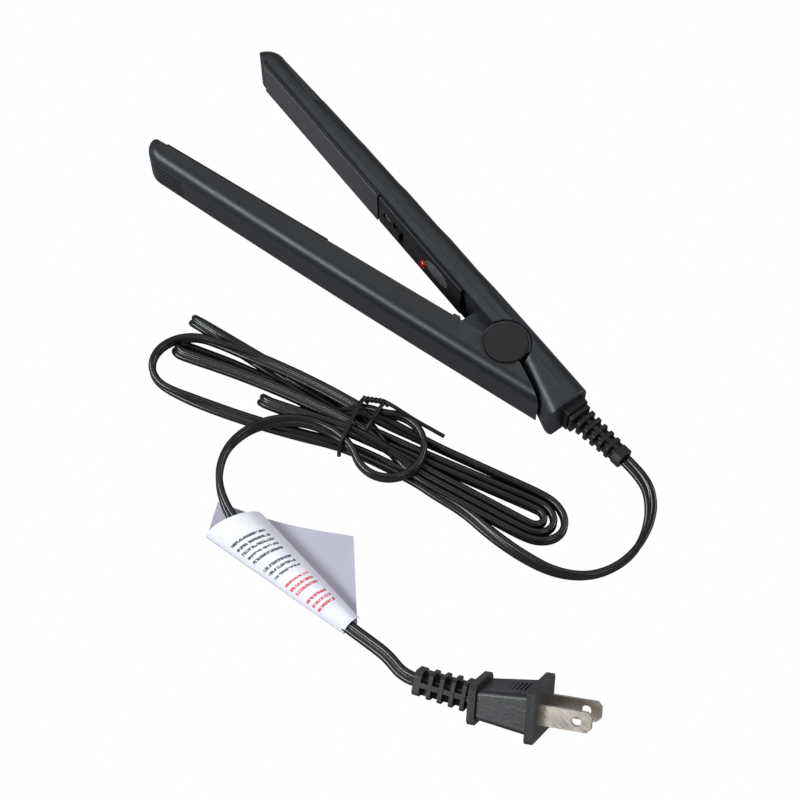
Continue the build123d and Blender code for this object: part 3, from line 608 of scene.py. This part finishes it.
def make_cord():
    """The whole cord as one mesh tube along its spline."""
    places, sides = zip(*cord_route())
    centre = spline_points("cord_centre", [mm(*place) for place in places])
    side_line = [mm(*place) + side * MM for place, side in zip(places, steady(sides))]
    beside = spline_points("cord_beside", side_line)
    centre, beside = without_doubles(centre, beside)
    sides = [b - a for a, b in zip(centre, beside)]
    section = cord_section()
    lifted = []
    for point, side in zip(centre, sides):
        upright = abs(side.normalized().z)
        lowest = CORE_OFFSET * upright + CORE_R + 0.04
        lifted.append(Vector((point.x, point.y, max(point.z, lowest * MM))))
    piece = tube("mains_cord", lifted, sides, section)
    paint(piece, CORD)
    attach(piece, "root_arm")
    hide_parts("cord_lead", "cord_hank", "cord_tail")
    length = sum((b - a).length for a, b in zip(lifted, lifted[1:]))
    print("cord length", round(length, 4), "points", len(lifted))
    return piece, lifted


# ---- wire tie ----

TIE_R = 0.7             # millimetres
TIE_TURNS = [
    [(-16.0, -45.4, 3.0), (-15.6, -46.6, 8.2), (-14.9, -48.6, 9.8), (-11.7, -54.3, 9.9), (-8.6, -59.8, 9.8),
     (-7.2, -62.4, 8.2), (-6.6, -63.8, 4.6), (-6.5, -64.0, 1.2)],
    [(-10.7, -41.0, 4.0), (-10.3, -42.0, 8.2), (-9.7, -43.5, 9.8), (-8.2, -47.4, 9.8), (-6.8, -51.0, 9.0),
     (-6.0, -53.2, 7.2), (-5.5, -54.6, 4.6)],
]
TIE_FREE = [(-10.4, -42.6, 9.6), (-8.8, -42.0, 9.9), (-5.2, -40.6, 9.6), (0.6, -38.2, 8.2), (5.6, -35.4, 6.4),
            (10.2, -33.0, 5.0)]
TWIST_ENDS = ((-15.0, -47.6, 10.0), (-10.2, -42.9, 10.0))
TWIST_R = 0.6           # from the link's axis to each wire
TWIST_WIRE_R = 0.5
TWIST_COUNT = 2.5
TWIST_STEPS = 24


def twist(phase):
    """One wire of the twisted link."""
    first, last = (Vector(end) for end in TWIST_ENDS)
    along = (last - first).normalized()
    across = Vector((-along.y, along.x, 0.0))
    points = []
    for i in range(TWIST_STEPS + 1):
        angle = phase + 2 * math.pi * TWIST_COUNT * i / TWIST_STEPS
        place = first.lerp(last, i / TWIST_STEPS) + across * (TWIST_R * math.cos(angle))
        points.append((place.x, place.y, place.z + TWIST_R * math.sin(angle)))
    return points


def wire(points, radius):
    """Mesh of a round wire along a spline."""
    curve = bpy.data.curves.new("wire", "CURVE")
    curve.dimensions = "3D"
    curve.resolution_u = 8
    curve.bevel_depth = radius * MM
    curve.bevel_resolution = 3
    curve.use_fill_caps = True
    spline = curve.splines.new("NURBS")
    spline.points.add(len(points) - 1)
    for target, point in zip(spline.points, points):
        target.co = (*mm(*point), 1.0)
    spline.order_u = 3
    spline.use_endpoint_u = True
    holder = bpy.data.objects.new("wire", curve)
    SCENE.collection.objects.link(holder)
    bpy.context.view_layer.update()
    mesh = bpy.data.meshes.new_from_object(holder)
    bpy.data.objects.remove(holder)
    bpy.data.curves.remove(curve)
    return mesh


def make_tie():
    """Both turns of the tie, its twisted link and its free end, as one piece."""
    wires = [(points, TIE_R) for points in [*TIE_TURNS, TIE_FREE]]
    wires += [(twist(phase), TWIST_WIRE_R) for phase in (0.0, math.pi)]
    joined = bmesh.new()
    for points, radius in wires:
        mesh = wire(points, radius)
        joined.from_mesh(mesh)
        bpy.data.meshes.remove(mesh)
    mesh = bpy.data.meshes.new("wire_tie")
    joined.to_mesh(mesh)
    joined.free()
    for polygon in mesh.polygons:
        polygon.use_smooth = True
    tie = bpy.data.objects.new("wire_tie", mesh)
    SCENE.collection.objects.link(tie)
    paint(tie, TIE)
    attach(tie, "root_arm")
    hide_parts("twist_tie")
    return tie


# ---- paper tag ----

TAG_MOUTH = (-10.4, -106.8)     # middle of the cone's wide end
TAG_END = (43.9, -95.6)
TAG_HALF_WIDTH = (8.9, 3.6)
TAG_HEIGHT = (9.2, 4.9)
TAG_SLANT = (8.5, 0.6)          # how far each end leans along the cone
TAG_LOW = 0.35                  # the front fold above the table
FLAP_CORNERS = ((-16.9, -105.5), (20.3, -77.5), (44.4, -93.6))
FLAP_CORNER_AT = 0.8            # share of the tag's length
FLAP_SAG = 1.8                  # of the flap's long edge
FLAP_LIFT = 2.6
TAG_ROWS = 40
FLAP_COLUMNS = 12
CONE_COLUMNS = 26


def between(pair, t):
    return pair[0] + (pair[1] - pair[0]) * t


def flap_edge(s):
    """Outer edge of the flap at a share of the tag's length."""
    left, corner, right = (Vector(c) for c in FLAP_CORNERS)
    if s > FLAP_CORNER_AT:
        return corner.lerp(right, (s - FLAP_CORNER_AT) / (1 - FLAP_CORNER_AT))
    t = s / FLAP_CORNER_AT
    inward = Vector((corner.y - left.y, left.x - corner.x)).normalized()
    return left.lerp(corner, t) + inward * (FLAP_SAG * math.sin(math.pi * t))


def flap_lift(s):
    """Height of the flap's outer edge above the table: most at its corner, none at its ends."""
    if s > FLAP_CORNER_AT:
        return FLAP_LIFT * (1 - s) / (1 - FLAP_CORNER_AT)
    return FLAP_LIFT * math.sin(math.pi / 2 * s / FLAP_CORNER_AT)


def tag_points(s):
    """One row of the tag, from the flap's outer edge to the front fold, then over the cord to the back."""
    mouth, end = Vector(TAG_MOUTH), Vector(TAG_END)
    along = (end - mouth).normalized()
    across = Vector((-along.y, along.x))
    middle, half, height = mouth.lerp(end, s), between(TAG_HALF_WIDTH, s), between(TAG_HEIGHT, s)
    fold = middle - across * half
    edge = flap_edge(s)
    row = []
    for i in range(FLAP_COLUMNS):
        t = i / FLAP_COLUMNS
        place = edge.lerp(fold, t)
        row.append(mm(place.x, place.y, TAG_LOW + flap_lift(s) * (1 - t) ** 2))
    for i in range(CONE_COLUMNS + 1):
        angle = math.pi * (1 - i / CONE_COLUMNS)
        shift = between(TAG_SLANT, s) * (1 + math.cos(angle)) / 2
        place = middle + across * (half * math.cos(angle)) + along * shift
        row.append(mm(place.x, place.y, TAG_LOW + height * math.sin(angle)))
    return row


def make_tag():
    """Care tag: one sheet, flat at the back and rolled into a cone over the cord."""
    columns = FLAP_COLUMNS + CONE_COLUMNS + 1
    vertices = [point for i in range(TAG_ROWS + 1) for point in tag_points(i / TAG_ROWS)]
    faces = [(i * columns + j, i * columns + j + 1, (i + 1) * columns + j + 1, (i + 1) * columns + j)
             for i in range(TAG_ROWS) for j in range(columns - 1)]
    tag = new_mesh("care_tag", vertices, faces)
    layer = tag.data.uv_layers.new(name="print")
    for loop in tag.data.loops:
        row, column = divmod(loop.vertex_index, columns)
        layer.data[loop.index].uv = (row / TAG_ROWS, (column - FLAP_COLUMNS) / CONE_COLUMNS)
    paint(tag, PAPER)
    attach(tag, "root_arm")
    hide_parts("paper_tag")
    return tag


# ---- floor, light and camera ----

CAMERA = dict(focus=1923.9, azimuth=53.386, elevation=63.613, target=(-11.35, -35.24, 0.0), distance=647.4)
FRAME_WIDTH = 800
SENSOR = 36.0


def make_camera():
    """Camera from its focal length, angles, target and distance."""
    az, el = math.radians(CAMERA["azimuth"]), math.radians(CAMERA["elevation"])
    back = Vector((math.sin(az) * math.cos(el), -math.cos(az) * math.cos(el), math.sin(el)))
    right = Vector((math.cos(az), math.sin(az), 0.0))
    up = back.cross(right)
    data = bpy.data.cameras.new("camera")
    data.sensor_width = SENSOR
    data.lens = CAMERA["focus"] / FRAME_WIDTH * SENSOR
    data.clip_start = 0.01
    data.clip_end = 20.0
    holder = bpy.data.objects.new("camera", data)
    SCENE.collection.objects.link(holder)
    spin = Matrix((right, up, back)).transposed().to_4x4()
    holder.matrix_world = Matrix.Translation(mm(*CAMERA["target"]) + back * CAMERA["distance"] * MM) @ spin
    SCENE.camera = holder


def area_light(name, place, target, size, power, colour=(1, 1, 1)):
    """A soft rectangular light aimed at a point."""
    data = bpy.data.lights.new(name, "AREA")
    data.shape = "RECTANGLE"
    data.size, data.size_y = size
    data.energy = power
    data.color = colour
    holder = bpy.data.objects.new(name, data)
    SCENE.collection.objects.link(holder)
    aim = Vector(target) - Vector(place)
    holder.matrix_world = Matrix.Translation(place) @ aim.to_track_quat("-Z", "Y").to_matrix().to_4x4()


def make_stage():
    """Floor, lights and a pale surround."""
    half = 3.0
    floor = new_mesh("floor", [(-half, -half, 0), (half, -half, 0), (half, half, 0), (-half, half, 0)],
                     [(0, 1, 2, 3)], smooth=False)
    paint(floor, floor_material())
    world = bpy.data.worlds.new("studio")
    world.use_nodes = True
    tree = world.node_tree
    light = tree.nodes["Background"]
    light.inputs["Color"].default_value = (0.9, 0.95, 1.0, 1.0)
    light.inputs["Strength"].default_value = 0.28
    seen = tree.nodes.new("ShaderNodeBackground")
    seen.inputs["Color"].default_value = (1.0, 1.0, 1.0, 1.0)
    mix = tree.nodes.new("ShaderNodeMixShader")
    rays = tree.nodes.new("ShaderNodeLightPath")
    tree.links.new(rays.outputs["Is Camera Ray"], mix.inputs[0])
    tree.links.new(light.outputs["Background"], mix.inputs[1])
    tree.links.new(seen.outputs["Background"], mix.inputs[2])
    tree.links.new(mix.outputs["Shader"], tree.nodes["World Output"].inputs["Surface"])
    SCENE.world = world
    area_light("band", (-0.36, -0.84, 0.62), (-0.03, -0.03, 0), (0.9, 0.24), 14.0, (0.94, 0.98, 1.0))
    area_light("top", (-0.42, 0.30, 1.0), (-0.03, -0.03, 0), (0.9, 0.7), 2.2)
    area_light("back", (0.5, 0.7, 0.35), (-0.03, 0.0, 0), (0.8, 0.25), 4.0)
    area_light("fill", (0.9, -0.1, 1.0), (0, -0.03, 0), (0.3, 0.3), 2.0)
    SCENE.view_settings.view_transform = "Standard"


dress_cad_nodes()
make_spring()
cord_piece, cord_path = make_cord()
tie_piece = make_tie()
tag_piece = make_tag()
make_stage()
make_camera()
